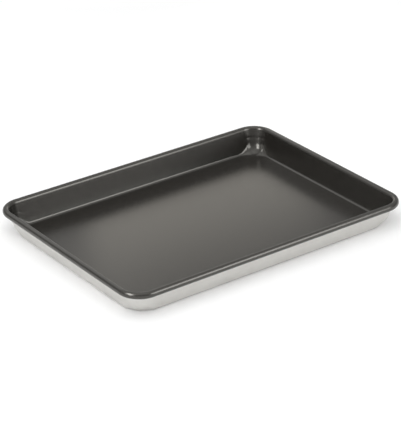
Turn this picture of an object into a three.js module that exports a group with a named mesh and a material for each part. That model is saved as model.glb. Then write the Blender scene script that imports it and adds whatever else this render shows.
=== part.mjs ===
// Quarter-size sheet pan: one drawn aluminium sheet whose edge is curled round a steel wire,
// with a non-stick film on the sheet's upper face that follows the curl to its cut edge.
// Millimetres, +Z up. The origin is the middle of the underside, and the long sides run along X.
import * as THREE from 'three';

// Overall sizes, measured over the finished rim
const PAN_LENGTH = 330;
const PAN_WIDTH = 241;
const PAN_HEIGHT = 27.5;
const RIM_CORNER_RADIUS = 24;

// Floor: how far inside the rim its flat part begins along the sides, and the bend up to the wall there
const FLOOR_INSET = 15.3;
const FLOOR_BEND_RADIUS = 3.6;

// Corners: the wall leans there as it does along the sides, and the floor bend opens out into a round
// hollow. It starts to open this far before the corner, is open after this much of the corner's turn,
// and then leaves the flat floor this short way outside the centre of the rim's corner.
const BLEND_LENGTH = 7;
const BLEND_TURN = 11;
const CORNER_TIP = 0.8;

// Stock
const SHEET_THICKNESS = 1;
const FILM_THICKNESS = 0.05;
const WIRE_DIAMETER = 4;

// Rim: room round the wire inside the curl, the slit left between the curl's cut edge and the wall,
// and the gap where the wire's two ends meet
const WIRE_CLEARANCE = 0.35;
const CURL_SLIT = 0.6;
const WIRE_BUTT_GAP = 1.5;

// Facets in a quarter turn of the plan, along a blend, in the floor bend, in the curl and round the wire
const CORNER_STEPS = 8;
const BLEND_STEPS = 4;
const BEND_STEPS = 6;
const CURL_STEPS = 14;
const WIRE_SIDES = 14;

// The curl's radius on the sheet's upper face, and over the film
const CURL_RADIUS = WIRE_DIAMETER / 2 + WIRE_CLEARANCE + SHEET_THICKNESS;
const RIM_RADIUS = CURL_RADIUS + FILM_THICKNESS;

// Height of the curl's axis
const CURL_AXIS_Z = PAN_HEIGHT - RIM_RADIUS;

// The flat floor's inset where the corner is open, and the length of rim over which it gets there
const CORNER_INSET = RIM_CORNER_RADIUS - CORNER_TIP;
const BLEND_ARC = RIM_CORNER_RADIUS * THREE.MathUtils.degToRad(BLEND_TURN);

const QUARTER_TURN = Math.PI / 2;
const WALL_LEAN = wallLean();

// How far the wall leans out from the vertical. The wall is the straight line that touches the curl's
// circle on its inner side and the floor bend's circle on its outer side.
function wallLean() {
  const reach = FLOOR_INSET - RIM_RADIUS;
  const rise = CURL_AXIS_Z - SHEET_THICKNESS - FLOOR_BEND_RADIUS;
  const radii = CURL_RADIUS + FLOOR_BEND_RADIUS;
  return Math.acos(radii / Math.hypot(reach, rise)) - Math.atan2(rise, reach);
}

// One corner of the pan and the ends of the two sides that meet there, counter-clockwise, as stations:
// a point on the rim's outer edge, its outward normal, how far along a side it lies from the corner as
// a share of the blend, and how far inside the edge the flat floor begins.
function cornerStations(corner) {
  const middle = (corner + 0.5) * QUARTER_TURN;
  const centreX = Math.sign(Math.cos(middle)) * (PAN_LENGTH / 2 - RIM_CORNER_RADIUS);
  const centreY = Math.sign(Math.sin(middle)) * (PAN_WIDTH / 2 - RIM_CORNER_RADIUS);
  const stations = [];
  for (let step = -BLEND_STEPS; step <= CORNER_STEPS + BLEND_STEPS; step++) {
    const turned = THREE.MathUtils.clamp(step, 0, CORNER_STEPS);
    const share = (step - turned) / BLEND_STEPS;
    const angle = (corner + turned / CORNER_STEPS) * QUARTER_TURN;
    const normal = new THREE.Vector3(Math.cos(angle), Math.sin(angle), 0);
    const along = new THREE.Vector3(-normal.y, normal.x, 0);
    const point = new THREE.Vector3(centreX, centreY, 0).addScaledVector(normal, RIM_CORNER_RADIUS);
    point.addScaledVector(along, share * BLEND_LENGTH);
    const turnFromSide = Math.min(turned, CORNER_STEPS - turned) / CORNER_STEPS * QUARTER_TURN;
    const path = RIM_CORNER_RADIUS * turnFromSide - BLEND_LENGTH * Math.abs(share);
    const opening = THREE.MathUtils.smoothstep(path, -BLEND_LENGTH, BLEND_ARC);
    const floorInset = THREE.MathUtils.lerp(FLOOR_INSET, CORNER_INSET, opening);
    stations.push({ point, normal, share, floorInset });
  }
  return stations;
}

// All stations round the pan.
function panStations() {
  return [0, 1, 2, 3].flatMap(cornerStations);
}

// A point on a circle that stands upright on a station's normal, its axis an inset inside the rim's
// edge; angle 0 points outwards and a quarter turn points up.
function onUprightCircle(station, inset, axisZ, radius, angle) {
  const out = radius * Math.cos(angle) - inset;
  const point = station.point.clone().addScaledVector(station.normal, out);
  point.z = axisZ + radius * Math.sin(angle);
  return point;
}

// The floor bend's radius at a station: the circle that touches both the floor where its flat part
// ends and the leaning wall.
function bendRadius(station) {
  const opening = station.floorInset - FLOOR_INSET;
  return FLOOR_BEND_RADIUS + opening * Math.cos(WALL_LEAN) / (1 - Math.sin(WALL_LEAN));
}

// The angle on the curl's circle where the sheet is cut: the film's corner there stays one slit
// away from the wall's bare face.
function curlEndAngle() {
  const wallFace = CURL_RADIUS - SHEET_THICKNESS;
  return Math.acos((wallFace - CURL_SLIT) / RIM_RADIUS) - Math.PI - WALL_LEAN;
}

// One face of the bent sheet at a station, from the edge of the flat floor up the wall and round
// the curl. The offset is counted from the sheet's upper face, positive towards the film.
function sheetRows(station, offset) {
  const bend = bendRadius(station);
  const bendAxisZ = SHEET_THICKNESS + bend;
  const rows = [];
  for (let step = 0; step <= BEND_STEPS; step++) {
    const angle = THREE.MathUtils.lerp(-QUARTER_TURN, -WALL_LEAN, step / BEND_STEPS);
    rows.push(onUprightCircle(station, station.floorInset, bendAxisZ, bend - offset, angle));
  }
  const curlStart = Math.PI - WALL_LEAN;
  const curlEnd = curlEndAngle();
  for (let step = 0; step <= CURL_STEPS; step++) {
    const angle = THREE.MathUtils.lerp(curlStart, curlEnd, step / CURL_STEPS);
    rows.push(onUprightCircle(station, RIM_RADIUS, CURL_AXIS_Z, CURL_RADIUS + offset, angle));
  }
  return rows;
}

// A whole face of the bent sheet: the rows at every station, and the middle of the floor.
function sheetFace(offset) {
  return {
    rings: panStations().map((station) => sheetRows(station, offset)),
    middle: new THREE.Vector3(0, 0, SHEET_THICKNESS + offset),
  };
}

// A closed geometry from points and triangles.
function geometryFrom(points, triangles) {
  const geometry = new THREE.BufferGeometry().setFromPoints(points);
  geometry.setIndex(triangles.flat());
  geometry.computeVertexNormals();
  return geometry;
}

// The solid between two faces of the bent sheet, closed by a strip along the curl's cut edge.
// Both faces are split into triangles alike, so that solids that share a face meet exactly.
function solidBetween(lower, upper) {
  const stationCount = lower.rings.length;
  const rowCount = lower.rings[0].length;
  const faceSize = stationCount * rowCount + 1;
  const points = [...lower.rings.flat(), lower.middle, ...upper.rings.flat(), upper.middle];
  const triangles = [];
  for (let k = 0; k < stationCount; k++) {
    const here = k * rowCount;
    const next = ((k + 1) % stationCount) * rowCount;
    const face = [[faceSize - 1, here, next]];
    for (let row = 0; row < rowCount - 1; row++) {
      face.push([here + row, here + row + 1, next + row + 1]);
      face.push([here + row, next + row + 1, next + row]);
    }
    for (const [a, b, c] of face) {
      triangles.push([a, c, b]);
      triangles.push([a + faceSize, b + faceSize, c + faceSize]);
    }
    const edgeHere = here + rowCount - 1;
    const edgeNext = next + rowCount - 1;
    triangles.push([edgeHere, edgeNext, edgeNext + faceSize]);
    triangles.push([edgeHere, edgeNext + faceSize, edgeHere + faceSize]);
  }
  return geometryFrom(points, triangles);
}

// The pan itself: the drawn and curled sheet.
function panBody() {
  const material = new THREE.MeshStandardMaterial({ color: 0xc2c1bd, roughness: 0.42, metalness: 1 });
  const mesh = new THREE.Mesh(solidBetween(sheetFace(-SHEET_THICKNESS), sheetFace(0)), material);
  mesh.name = 'pan_body';
  return mesh;
}

// The dark non-stick film, bonded to the sheet's upper face from the floor to the cut edge.
function nonstickFilm() {
  const material = new THREE.MeshStandardMaterial({ color: 0x312f2c, roughness: 0.34, metalness: 0 });
  const mesh = new THREE.Mesh(solidBetween(sheetFace(0), sheetFace(FILM_THICKNESS)), material);
  mesh.name = 'nonstick_film';
  return mesh;
}

// The steel wire inside the curl: one length bent to the rim's outline, its ends meeting in the
// middle of a long side.
function rimWire() {
  const [corner0, ...corners] = [0, 1, 2, 3].map(cornerStations);
  const buttEnd = (side) => {
    const { point, normal } = corner0.at(-1);
    return { point: new THREE.Vector3(side * WIRE_BUTT_GAP / 2, point.y, 0), normal, share: 0 };
  };
  const path = [buttEnd(-1), ...corners.flat(), ...corner0, buttEnd(1)];
  const stations = path.filter((station) => station.share === 0);
  const points = [];
  for (const station of stations) {
    for (let side = 0; side < WIRE_SIDES; side++) {
      const angle = side / WIRE_SIDES * 4 * QUARTER_TURN;
      points.push(onUprightCircle(station, RIM_RADIUS, 0, WIRE_DIAMETER / 2, angle));
    }
  }
  const triangles = [];
  const lastRing = (stations.length - 1) * WIRE_SIDES;
  for (let side = 0; side < WIRE_SIDES; side++) {
    const following = (side + 1) % WIRE_SIDES;
    for (let ring = 0; ring < lastRing; ring += WIRE_SIDES) {
      const next = ring + WIRE_SIDES;
      triangles.push([ring + side, next + side, next + following]);
      triangles.push([ring + side, next + following, ring + following]);
    }
    if (side > 0 && following > 0) {
      triangles.push([0, side, following]);
      triangles.push([lastRing, lastRing + following, lastRing + side]);
    }
  }
  const material = new THREE.MeshStandardMaterial({ color: 0x9c9e9f, roughness: 0.5, metalness: 1 });
  const mesh = new THREE.Mesh(geometryFrom(points, triangles), material);
  mesh.name = 'rim_wire';
  mesh.position.z = CURL_AXIS_Z;
  return mesh;
}

const sheetPan = new THREE.Group();
sheetPan.name = 'sheet_pan';
sheetPan.add(panBody(), rimWire(), nonstickFilm());

export default sheetPan;
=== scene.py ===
import math

import bpy
import numpy as np
from mathutils import Matrix, Quaternion, Vector


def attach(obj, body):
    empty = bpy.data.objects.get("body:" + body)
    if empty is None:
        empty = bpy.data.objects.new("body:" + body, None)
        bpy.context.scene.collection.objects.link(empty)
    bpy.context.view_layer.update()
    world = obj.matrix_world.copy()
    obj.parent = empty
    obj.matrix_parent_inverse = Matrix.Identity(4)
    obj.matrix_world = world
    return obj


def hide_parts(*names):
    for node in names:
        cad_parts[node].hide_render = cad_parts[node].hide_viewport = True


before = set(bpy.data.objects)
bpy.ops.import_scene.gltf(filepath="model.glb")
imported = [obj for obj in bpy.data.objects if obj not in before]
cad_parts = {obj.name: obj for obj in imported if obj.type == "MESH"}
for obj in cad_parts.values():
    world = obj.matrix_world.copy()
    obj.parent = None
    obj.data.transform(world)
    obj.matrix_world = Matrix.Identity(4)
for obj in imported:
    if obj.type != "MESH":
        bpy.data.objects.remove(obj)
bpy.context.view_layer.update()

# Sizes of the pan in metres
PAN_LENGTH = 0.330
PAN_WIDTH = 0.241
PAN_HEIGHT = 0.0275
RIM_CORNER_RADIUS = 0.024
SHEET_THICKNESS = 0.001
FILM_THICKNESS = 0.00005
WIRE_DIAMETER = 0.004
WIRE_CLEARANCE = 0.00035
CURL_SLIT = 0.0006
WIRE_BUTT_GAP = 0.0015

# The floor bend and the corner hollows, which stay within a millimetre of the solids'
FLOOR_INSET = 0.0150
FLOOR_BEND_RADIUS = 0.003
BLEND_LENGTH = 0.014
BLEND_TURN = math.radians(8)
CORNER_TIP = 0.0008

# The faint line that drawing the sheet leaves in the corners
DRAW_LINE_HEIGHT = 0.0168
DRAW_LINE_DROP = 0.004
DRAW_LINE_WIDTH = 0.0012
DRAW_LINE_DEPTH = 0.0001

CURL_RADIUS = WIRE_DIAMETER / 2 + WIRE_CLEARANCE + SHEET_THICKNESS
RIM_RADIUS = CURL_RADIUS + FILM_THICKNESS
CURL_AXIS_Z = PAN_HEIGHT - RIM_RADIUS

# The wall's lean out from the vertical: it touches the curl's circle inside and the bend's outside
WALL_REACH = FLOOR_INSET - RIM_RADIUS
WALL_RISE = CURL_AXIS_Z - SHEET_THICKNESS - FLOOR_BEND_RADIUS
WALL_LEAN = (math.acos((CURL_RADIUS + FLOOR_BEND_RADIUS) / math.hypot(WALL_REACH, WALL_RISE))
             - math.atan2(WALL_RISE, WALL_REACH))

# Steps of the surfaces in a corner, beside it, along the sides, and across each part of the sheet
CORNER_STEPS = 56
BLEND_STEPS = 24
LONG_SIDE_STEPS = 22
SHORT_SIDE_STEPS = 16
FLOOR_STEPS = 12
BEND_STEPS = 20
WALL_STEPS = 22
CURL_STEPS = 40
WIRE_SIDES = 32

BLANK_MAP = "blank"
SHARP_ANGLE = math.radians(40)
TOUCH = 1e-6


# Geometry

def pan_stations():
    """The stations round the pan, counter-clockwise from the end of the right-hand side: a point
    on the rim's outer edge, its outward normal, and how far inside the edge the flat floor begins.
    Each corner turns about the rim corner's centre, then slides along the side to the next. The
    inset grows from the side's to the corner's with the path along the rim, by a smooth step, three
    squared minus two cubed, which is squared again so that it starts slowly."""
    points, normals, insets = [], [], []
    signs = np.array([[1, 1], [-1, 1], [-1, -1], [1, -1]])
    for k in range(4):
        side = PAN_WIDTH if k % 2 else PAN_LENGTH
        side_steps = SHORT_SIDE_STEPS if k % 2 else LONG_SIDE_STEPS
        blend = np.linspace(0, BLEND_LENGTH, BLEND_STEPS + 1)
        side_end = side - 2 * RIM_CORNER_RADIUS - BLEND_LENGTH
        rest = np.linspace(BLEND_LENGTH, side_end, side_steps + 1)[1:-1]
        slide = np.concatenate([-blend[:0:-1], np.zeros(CORNER_STEPS + 1), blend[1:], rest])
        turn = np.concatenate([np.zeros(BLEND_STEPS), np.linspace(0, 1, CORNER_STEPS + 1),
                               np.ones(BLEND_STEPS + len(rest))])
        angle = (k + turn) * math.pi / 2
        normal = np.stack([np.cos(angle), np.sin(angle)], axis=1)
        along = np.stack([-normal[:, 1], normal[:, 0]], axis=1)
        centre = signs[k] * (np.array([PAN_LENGTH, PAN_WIDTH]) / 2 - RIM_CORNER_RADIUS)
        path = RIM_CORNER_RADIUS * np.minimum(turn, 1 - turn) * math.pi / 2 - np.abs(slide)
        blend_path = BLEND_LENGTH + RIM_CORNER_RADIUS * BLEND_TURN
        step = np.clip((path + BLEND_LENGTH) / blend_path, 0, 1)
        opening = (step ** 2 * (3 - 2 * step)) ** 2
        points.append(centre + normal * RIM_CORNER_RADIUS + along * slide[:, None])
        normals.append(normal)
        insets.append(FLOOR_INSET + (RIM_CORNER_RADIUS - CORNER_TIP - FLOOR_INSET) * opening)
    return np.concatenate(points), np.concatenate(normals), np.concatenate(insets)


def sheet_face(offset):
    """One face of the bent sheet as a grid of stations by rows, and the place of each point on the
    flat blank. Rows run over the flat floor, round the floor bend (a circle of radius bend minus
    offset, which grows in the corners so that it touches both the floor and the leaning wall),
    straight up the wall, and over the rim (a circle of radius curl plus offset) to the cut edge. In
    the corners the wall is pushed out by a bell curve of its height, the faint line that drawing
    the sheet leaves above the hollow; the line drops and fades towards the sides. The offset is
    counted from the sheet's upper face, positive towards the film."""
    point, normal, inset = pan_stations()
    curl = point - normal * RIM_RADIUS
    bend = point - normal * inset[:, None]
    growth = math.cos(WALL_LEAN) / (1 - math.sin(WALL_LEAN))
    bend_radius = (FLOOR_BEND_RADIUS + (inset - FLOOR_INSET) * growth)[:, None]

    floor_share = np.linspace(0, 1, FLOOR_STEPS + 1)[1:-1]
    floor = np.concatenate(
        [bend[:, None] * floor_share[None, :, None],
         np.full((len(bend), len(floor_share), 1), SHEET_THICKNESS + offset)], axis=2)

    bend_angle = np.linspace(-math.pi / 2, -WALL_LEAN, BEND_STEPS + 1)[None, :]
    bend_rows = upright_circle(
        bend, normal, SHEET_THICKNESS + bend_radius, bend_radius - offset, bend_angle)
    bend_length = bend_radius * (bend_angle + math.pi / 2)

    curl_start = math.pi - WALL_LEAN
    slit_angle = math.acos((CURL_RADIUS - SHEET_THICKNESS - CURL_SLIT) / RIM_RADIUS)
    curl_end = slit_angle - math.pi - WALL_LEAN
    curl_angle = np.linspace(curl_start, curl_end, CURL_STEPS + 1)[None, :]
    curl_rows = upright_circle(curl, normal, CURL_AXIS_Z, CURL_RADIUS + offset, curl_angle)

    climb = np.linspace(0, 1, WALL_STEPS + 1)[1:-1][None, :, None]
    wall_rows = bend_rows[:, -1:] + (curl_rows[:, :1] - bend_rows[:, -1:]) * climb

    share = ((inset - FLOOR_INSET) / (inset.max() - FLOOR_INSET))[:, None]
    below_line = DRAW_LINE_HEIGHT - DRAW_LINE_DROP * (1 - share) - wall_rows[:, :, 2]
    groove = DRAW_LINE_DEPTH * share * np.exp(-(below_line / DRAW_LINE_WIDTH) ** 2)
    downward = np.full((len(normal), 1), -math.sin(WALL_LEAN))
    outward = np.concatenate([math.cos(WALL_LEAN) * normal, downward], axis=1)
    wall_rows = wall_rows + outward[:, None] * groove[:, :, None]

    wall_height = np.linalg.norm(curl_rows[:, 0] - bend_rows[:, -1], axis=1)[:, None]
    wall_length = bend_length[:, -1:] + wall_height * climb[:, :, 0]
    curl_length = bend_length[:, -1:] + wall_height + CURL_RADIUS * (curl_start - curl_angle)

    length = np.concatenate([bend_length, wall_length, curl_length], axis=1)
    blank = bend[:, None] + normal[:, None] * length[:, :, None]
    rows = np.concatenate([floor, bend_rows, wall_rows, curl_rows], axis=1)
    return rows, np.concatenate([floor[:, :, :2], blank], axis=1)


def upright_circle(centre, normal, height, radius, angle):
    """Points on circles that stand upright on the stations' normals: angle 0 points outwards and a
    quarter turn points up."""
    flat = centre[:, None] + normal[:, None] * (radius * np.cos(angle))[:, :, None]
    rise = np.broadcast_to((height + radius * np.sin(angle))[:, :, None], (*flat.shape[:2], 1))
    return np.concatenate([flat, rise], axis=2)


def mesh_piece(name, points, faces, blank=None):
    """A smooth-shaded object at the origin from points and faces, with the place of each point on
    the flat blank as its map."""
    mesh = bpy.data.meshes.new(name)
    mesh.from_pydata(points, [], faces)
    if blank is not None:
        layer = mesh.uv_layers.new(name=BLANK_MAP)
        corners = np.empty(len(mesh.loops), np.int32)
        mesh.loops.foreach_get("vertex_index", corners)
        layer.data.foreach_set("uv", blank[corners].astype(np.float32).ravel())
    mesh.polygons.foreach_set("use_smooth", np.ones(len(mesh.polygons), bool))
    mesh.update()
    mesh.set_sharp_from_angle(angle=SHARP_ANGLE)
    piece = bpy.data.objects.new(name, mesh)
    bpy.context.scene.collection.objects.link(piece)
    return piece


def grid_faces(stations, rows, start):
    """Quads of a grid that closes round its stations, counter-clockwise seen from above."""
    row = np.arange(rows - 1)[None, :] + start
    here = np.arange(stations)[:, None] * rows + row
    following = np.roll(np.arange(stations), -1)[:, None] * rows + row
    return np.stack([here, here + 1, following + 1, following], axis=2).reshape(-1, 4)


def sheet_solid(name, lower_offset, upper_offset):
    """The closed solid between two faces of the bent sheet: both grids, a fan to the middle of the
    floor on each, and a strip along the cut edge."""
    lower, lower_blank = sheet_face(lower_offset)
    upper, upper_blank = sheet_face(upper_offset)
    stations, rows, _ = lower.shape
    face_size = stations * rows + 1
    middle = np.zeros((1, 3))
    points = np.concatenate([
        lower.reshape(-1, 3), middle + [0, 0, SHEET_THICKNESS + lower_offset],
        upper.reshape(-1, 3), middle + [0, 0, SHEET_THICKNESS + upper_offset]])
    blank = np.concatenate([
        lower_blank.reshape(-1, 2), middle[:, :2],
        upper_blank.reshape(-1, 2), middle[:, :2]])

    ring = np.arange(stations) * rows
    following = np.roll(ring, -1)
    fan = np.stack([np.full(stations, face_size - 1), ring, following], axis=1)
    edge, edge_following = ring + rows - 1, following + rows - 1
    strip = np.stack([edge, edge_following, edge_following + face_size, edge + face_size], axis=1)
    faces = [
        *grid_faces(stations, rows, 0)[:, ::-1].tolist(),
        *fan[:, ::-1].tolist(),
        *grid_faces(stations, rows, face_size).tolist(),
        *(fan + face_size).tolist(),
        *strip.tolist()]
    return mesh_piece(name, points, faces, blank)


def rim_wire_solid(name):
    """The wire: a circle carried along the curl's line, from one cut end round to the other in the
    middle of the back side, each end closed on a point."""
    point, normal, _ = pan_stations()
    straight_half = PAN_LENGTH / 2 - RIM_CORNER_RADIUS
    back = (normal[:, 1] > 1 - TOUCH) & (np.abs(point[:, 0]) < straight_half - TOUCH)
    first = int(np.flatnonzero(back)[-1]) + 1
    order = np.roll(np.arange(len(point)), -first)
    order = order[~back[order]]
    path, out = point[order] - normal[order] * RIM_RADIUS, normal[order]
    ends = np.array([[-WIRE_BUTT_GAP / 2, path[0, 1]], [WIRE_BUTT_GAP / 2, path[0, 1]]])
    path = np.concatenate([ends[:1], path, ends[1:]])
    out = np.concatenate([out[:1], out, out[-1:]])
    angle = np.arange(WIRE_SIDES)[None, :] / WIRE_SIDES * 2 * math.pi
    rings = upright_circle(path, out, CURL_AXIS_Z, WIRE_DIAMETER / 2, angle)
    tips = np.concatenate([ends, np.full((2, 1), CURL_AXIS_Z)], axis=1)
    points = np.concatenate([rings.reshape(-1, 3), tips])
    side = np.arange(WIRE_SIDES)
    next_side = np.roll(side, -1)
    start = (np.arange(len(path) - 1) * WIRE_SIDES)[:, None]
    following = start + WIRE_SIDES
    tube = np.stack(
        [start + side, following + side, following + next_side, start + next_side], axis=2)
    last = (len(path) - 1) * WIRE_SIDES
    tip = len(path) * WIRE_SIDES
    first_cap = np.stack([np.full(WIRE_SIDES, tip), side, next_side], axis=1)
    last_cap = np.stack([np.full(WIRE_SIDES, tip + 1), last + next_side, last + side], axis=1)
    faces = [*tube.reshape(-1, 4).tolist(), *first_cap.tolist(), *last_cap.tolist()]
    return mesh_piece(name, points, faces)


# Materials

FILM_DARK, FILM_LIGHT = (0.0142, 0.0128, 0.0108), (0.0187, 0.0170, 0.0144)
ALUMINIUM_DARK, ALUMINIUM_LIGHT = (0.63, 0.622, 0.6), (0.675, 0.667, 0.643)
ZINC_DARK, ZINC_LIGHT = (0.42, 0.43, 0.44), (0.58, 0.59, 0.60)
ROLLING_STRETCH = (0.03, 1.0, 1.0)


def add_node(tree, kind, inputs=None, **settings):
    """One shader node. Settings are its own properties; inputs are values or links for its
    sockets."""
    made = tree.nodes.new(kind)
    for name, value in settings.items():
        setattr(made, name, value)
    for name, value in (inputs or {}).items():
        if isinstance(value, bpy.types.NodeSocket):
            tree.links.new(value, made.inputs[name])
        else:
            made.inputs[name].default_value = value
    return made


def new_material(name):
    """An empty material with its output, and its node tree."""
    material = bpy.data.materials.new(name)
    material.use_nodes = True
    material.node_tree.nodes.clear()
    output = add_node(material.node_tree, "ShaderNodeOutputMaterial")
    return material, material.node_tree, output


def between(tree, value, low, high):
    """Turns a value of 0 to 1 into one between low and high."""
    spread = add_node(tree, "ShaderNodeMapRange", {"Value": value, "To Min": low, "To Max": high})
    return spread.outputs["Result"]


def colour_between(tree, value, first, second):
    """Mixes two colours by a value of 0 to 1."""
    mix = add_node(tree, "ShaderNodeMix", {"Factor": value}, data_type="RGBA")
    mix.inputs["A"].default_value = (*first, 1)
    mix.inputs["B"].default_value = (*second, 1)
    return next(socket for socket in mix.outputs if socket.type == "RGBA")


def mottle_group():
    """Shared unevenness of a surface: broad cloudy patches and a fine grain, both 0 to 1."""
    group = bpy.data.node_groups.new("surface_mottle", "ShaderNodeTree")
    group.interface.new_socket("Vector", in_out="INPUT", socket_type="NodeSocketVector")
    group.interface.new_socket("Patch Scale", in_out="INPUT", socket_type="NodeSocketFloat")
    group.interface.new_socket("Grain Scale", in_out="INPUT", socket_type="NodeSocketFloat")
    group.interface.new_socket("Patches", in_out="OUTPUT", socket_type="NodeSocketFloat")
    group.interface.new_socket("Grain", in_out="OUTPUT", socket_type="NodeSocketFloat")
    given = add_node(group, "NodeGroupInput")
    result = add_node(group, "NodeGroupOutput")
    for output, scale, detail in (("Patches", "Patch Scale", 4.0), ("Grain", "Grain Scale", 2.0)):
        noise = add_node(group, "ShaderNodeTexNoise", {
            "Vector": given.outputs["Vector"], "Scale": given.outputs[scale],
            "Detail": detail, "Roughness": 0.55})
        spread = add_node(group, "ShaderNodeMapRange", {
            "Value": noise.outputs["Fac"], "From Min": 0.3, "From Max": 0.7})
        group.links.new(spread.outputs["Result"], result.inputs[output])
    return group


def place_mottle(tree, group, vector, patch_scale=60.0, grain_scale=900.0):
    """The shared unevenness, placed in a material with its own scales."""
    placed = add_node(tree, "ShaderNodeGroup", node_tree=group)
    tree.links.new(vector, placed.inputs["Vector"])
    placed.inputs["Patch Scale"].default_value = patch_scale
    placed.inputs["Grain Scale"].default_value = grain_scale
    return placed.outputs["Patches"], placed.outputs["Grain"]


def nonstick_material(mottle):
    """Satin dark warm grey coating with cloudy patches and a fine orange peel."""
    material, tree, output = new_material("satin_nonstick")
    blank = add_node(tree, "ShaderNodeUVMap", uv_map=BLANK_MAP).outputs["UV"]
    patches, grain = place_mottle(tree, mottle, blank, patch_scale=160.0, grain_scale=900.0)
    bump = add_node(tree, "ShaderNodeBump", {
        "Height": grain, "Strength": 0.25, "Distance": 0.00003})
    shader = add_node(tree, "ShaderNodeBsdfPrincipled", {
        "Base Color": colour_between(tree, patches, FILM_DARK, FILM_LIGHT),
        "Roughness": between(tree, patches, 0.222, 0.25),
        "IOR": 1.7,
        "Specular Tint": (1.0, 0.98, 0.92, 1),
        "Normal": bump.outputs["Normal"]})
    tree.links.new(shader.outputs["BSDF"], output.inputs["Surface"])
    return material


def aluminium_material(mottle):
    """Satin bare aluminium with the fine lines that rolling leaves along the sheet."""
    material, tree, output = new_material("rolled_aluminium")
    blank = add_node(tree, "ShaderNodeUVMap", uv_map=BLANK_MAP).outputs["UV"]
    stretch = add_node(tree, "ShaderNodeMapping", {"Vector": blank, "Scale": ROLLING_STRETCH})
    drawn_out = stretch.outputs["Vector"]
    patches, _ = place_mottle(tree, mottle, blank, patch_scale=60.0)
    _, lines = place_mottle(tree, mottle, drawn_out, grain_scale=1400.0)
    bump = add_node(tree, "ShaderNodeBump", {"Height": lines, "Strength": 0.3, "Distance": 0.00002})
    shader = add_node(tree, "ShaderNodeBsdfPrincipled", {
        "Base Color": colour_between(tree, patches, ALUMINIUM_DARK, ALUMINIUM_LIGHT),
        "Metallic": 1.0,
        "Roughness": between(tree, lines, 0.34, 0.46),
        "Normal": bump.outputs["Normal"]})
    tree.links.new(shader.outputs["BSDF"], output.inputs["Surface"])
    return material


def wire_material(mottle):
    """Dull galvanised steel with cloudy zinc patches."""
    material, tree, output = new_material("galvanised_steel")
    place = add_node(tree, "ShaderNodeTexCoord").outputs["Object"]
    patches, grain = place_mottle(tree, mottle, place, patch_scale=350.0, grain_scale=2500.0)
    bump = add_node(tree, "ShaderNodeBump", {"Height": grain, "Strength": 0.3, "Distance": 0.00003})
    shader = add_node(tree, "ShaderNodeBsdfPrincipled", {
        "Base Color": colour_between(tree, patches, ZINC_DARK, ZINC_LIGHT),
        "Metallic": 1.0,
        "Roughness": between(tree, patches, 0.42, 0.58),
        "Normal": bump.outputs["Normal"]})
    tree.links.new(shader.outputs["BSDF"], output.inputs["Surface"])
    return material


# Studio

FLOOR_SIZE = 12.0
FLOOR_DROP = 0.0002
FLOOR_COLOUR = (0.9, 0.9, 0.9, 1)
NEAR_GLOW = 0.12
FAR_GLOW = 0.42
NEAR_GLOW_REACH = 0.6
FAR_GLOW_REACH = 2.5

# The surround's brightness at elevations in degrees
ZENITH = 90
SURROUND = (
    (0, 1.0), (3.5, 1.0), (7, 0.4), (27, 0.45), (45, 0.65), (60, 0.9), (75, 1.2), (ZENITH, 1.4))

# Power of a soft light for each square metre of it and each unit of its brightness
LAMP_POWER = 4


def seen_directly(tree):
    """1 for rays from the camera, and for rays that a glossy or clear surface sends on."""
    path = add_node(tree, "ShaderNodeLightPath")
    first = add_node(tree, "ShaderNodeMath", {
        0: path.outputs["Is Camera Ray"], 1: path.outputs["Is Glossy Ray"]}, operation="MAXIMUM")
    either = add_node(tree, "ShaderNodeMath", {
        0: first.outputs[0], 1: path.outputs["Is Transmission Ray"]}, operation="MAXIMUM")
    return either.outputs[0]


def studio_floor():
    """A wide pale table top just under the pan. It keeps the pan's shadow, and a glow makes it look
    white. The glow grows with the distance from the pan, where the lamps light the table less."""
    half = FLOOR_SIZE / 2
    corners = np.array([[-half, -half], [half, -half], [half, half], [-half, half]])
    points = np.concatenate([corners, np.full((4, 1), -FLOOR_DROP)], axis=1)
    floor = mesh_piece("studio_floor", points, [[0, 1, 2, 3]])
    material, tree, output = new_material("studio_floor")
    matt = add_node(tree, "ShaderNodeBsdfDiffuse", {"Color": FLOOR_COLOUR})
    glow = add_node(tree, "ShaderNodeEmission", {"Color": (1, 1, 1, 1)})
    place = add_node(tree, "ShaderNodeTexCoord").outputs["Object"]
    away = add_node(tree, "ShaderNodeVectorMath", {0: place}, operation="LENGTH").outputs["Value"]
    level = add_node(tree, "ShaderNodeMapRange", {
        "Value": away, "From Min": NEAR_GLOW_REACH, "From Max": FAR_GLOW_REACH,
        "To Min": NEAR_GLOW, "To Max": FAR_GLOW}).outputs["Result"]
    strength = add_node(tree, "ShaderNodeMath", {
        0: seen_directly(tree), 1: level}, operation="MULTIPLY")
    tree.links.new(strength.outputs[0], glow.inputs["Strength"])
    both = add_node(tree, "ShaderNodeAddShader", {
        0: matt.outputs["BSDF"], 1: glow.outputs["Emission"]})
    tree.links.new(both.outputs["Shader"], output.inputs["Surface"])
    floor.data.materials.append(material)


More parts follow.
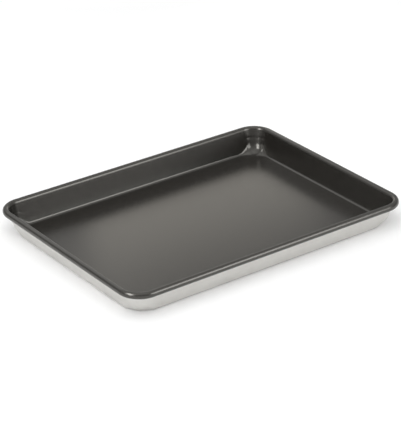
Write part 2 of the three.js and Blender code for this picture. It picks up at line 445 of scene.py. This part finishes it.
def studio_surround():
    """A pale room with a white strip along its horizon, greyer above it and brighter up to its
    ceiling."""
    world = bpy.data.worlds.new("studio_surround")
    bpy.context.scene.world = world
    world.use_nodes = True
    tree = world.node_tree
    tree.nodes.clear()
    gaze = add_node(tree, "ShaderNodeTexCoord").outputs["Generated"]
    upward = add_node(tree, "ShaderNodeSeparateXYZ", {"Vector": gaze}).outputs["Z"]
    angle = add_node(tree, "ShaderNodeMath", {0: upward}, operation="ARCSINE")
    share = add_node(tree, "ShaderNodeMath", {
        0: angle.outputs[0], 1: math.pi / 2}, operation="DIVIDE")
    ramp = add_node(tree, "ShaderNodeValToRGB", {"Fac": share.outputs[0]})
    stops = ramp.color_ramp.elements
    while len(stops) < len(SURROUND):
        stops.new(0.5)
    for stop, (elevation, brightness) in zip(stops, SURROUND):
        stop.position = elevation / ZENITH
        stop.color = (brightness, brightness, brightness, 1)
    background = add_node(tree, "ShaderNodeBackground", {"Color": ramp.outputs["Color"]})
    output = add_node(tree, "ShaderNodeOutputWorld")
    tree.links.new(background.outputs["Background"], output.inputs["Surface"])


def direction(bearing, elevation):
    """A unit vector from a bearing, counter-clockwise from +X, and an elevation, in degrees."""
    turn, tilt = math.radians(bearing), math.radians(elevation)
    level = math.cos(tilt)
    return Vector((math.cos(turn) * level, math.sin(turn) * level, math.sin(tilt)))


def softbox(name, bearing, elevation, distance, wide, high, radiance, turned=0.0, lean=0.0,
            colour=(1, 1, 1), on_matt=True, on_gloss=True):
    """A rectangular soft light: its bearing and elevation from the pan's middle, how wide and high
    it would look from there face on, all in degrees, and its brightness. It faces the middle, or is
    turned by some degrees about the upright. A lean tips its top towards smaller bearings. Its
    colour is white unless one is given. It can be kept off matt surfaces, as by a flag beside it,
    or off glossy ones."""
    away = direction(bearing, elevation)
    facing = direction(bearing + turned, elevation)
    data = bpy.data.lights.new(name, "AREA")
    data.shape = "RECTANGLE"
    data.size = 2 * distance * math.tan(math.radians(wide / 2))
    data.size_y = 2 * distance * math.tan(math.radians(high / 2))
    data.energy = LAMP_POWER * data.size * data.size_y * radiance
    data.color = colour
    lamp = bpy.data.objects.new(name, data)
    lamp.location = away * distance
    lamp.rotation_mode = "QUATERNION"
    tipped = Quaternion((0, 0, 1), math.radians(lean))
    lamp.rotation_quaternion = facing.to_track_quat("Z", "Y") @ tipped
    lamp.visible_camera = False
    lamp.visible_diffuse = on_matt
    lamp.visible_glossy = on_gloss
    bpy.context.scene.collection.objects.link(lamp)


# Camera, fitted to the photograph's rim, base and walls
PHOTO_WIDTH, PHOTO_HEIGHT = 401, 438
CAMERA_AZIMUTH = math.radians(-36.219)
CAMERA_ELEVATION = math.radians(26.765)
CAMERA_ROLL = math.radians(-0.635)
CAMERA_DISTANCE = 1.9004
CAMERA_FOCUS_PIXELS = 1933.9
CAMERA_AIM_RIGHT, CAMERA_AIM_UP = -0.00086, -0.01352
SENSOR_WIDTH = 36.0


def photo_camera():
    """The camera: an azimuth and elevation about the middle of the rim, a small aim offset, and a
    roll."""
    turn, tilt = CAMERA_AZIMUTH, CAMERA_ELEVATION
    level = math.cos(tilt)
    back = Vector((math.sin(turn) * level, -math.cos(turn) * level, math.sin(tilt)))
    right = Vector((math.cos(turn), math.sin(turn), 0))
    up = back.cross(right)
    place = (Vector((0, 0, CURL_AXIS_Z)) + right * CAMERA_AIM_RIGHT + up * CAMERA_AIM_UP
             + back * CAMERA_DISTANCE)
    rolled_right = right * math.cos(CAMERA_ROLL) + up * math.sin(CAMERA_ROLL)
    rolled_up = up * math.cos(CAMERA_ROLL) - right * math.sin(CAMERA_ROLL)
    data = bpy.data.cameras.new("photo_camera")
    data.sensor_width = SENSOR_WIDTH
    data.lens = CAMERA_FOCUS_PIXELS * SENSOR_WIDTH / max(PHOTO_WIDTH, PHOTO_HEIGHT)
    data.clip_start, data.clip_end = 0.05, 50
    camera = bpy.data.objects.new("photo_camera", data)
    axes = Matrix((rolled_right, rolled_up, back)).transposed()
    camera.matrix_world = Matrix.Translation(place) @ axes.to_4x4()
    bpy.context.scene.collection.objects.link(camera)
    bpy.context.scene.camera = camera


# Assembly

mottle = mottle_group()

pan_sheet = sheet_solid("pan_sheet", -SHEET_THICKNESS, 0.0)
pan_sheet.data.materials.append(aluminium_material(mottle))
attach(pan_sheet, "root")
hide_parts("pan_body")

film_skin = sheet_solid("film_skin", 0.0, FILM_THICKNESS)
film_skin.data.materials.append(nonstick_material(mottle))
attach(film_skin, "root")
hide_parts("nonstick_film")

bead_wire = rim_wire_solid("bead_wire")
bead_wire.data.materials.append(wire_material(mottle))
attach(bead_wire, "root")
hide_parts("rim_wire")

studio_floor()
studio_surround()
softbox("left_light", bearing=190, elevation=36, distance=1.3, wide=18, high=44, radiance=6.8,
        lean=25, on_matt=False)
softbox("right_light", bearing=297, elevation=25, distance=1.3, wide=30, high=36, radiance=3.5,
        lean=-8, on_matt=False)
softbox("back_light", bearing=53, elevation=22, distance=0.59, wide=34.5, high=13.4, radiance=0.74,
        turned=35, colour=(1, 0.95, 0.86))
softbox("high_back_light", bearing=92, elevation=42, distance=1.3, wide=50, high=18, radiance=0.5)
softbox("top_light", bearing=216, elevation=56, distance=1.6, wide=54, high=50, radiance=1.3,
        on_gloss=False)
photo_camera()

bpy.context.scene.view_settings.view_transform = "Standard"
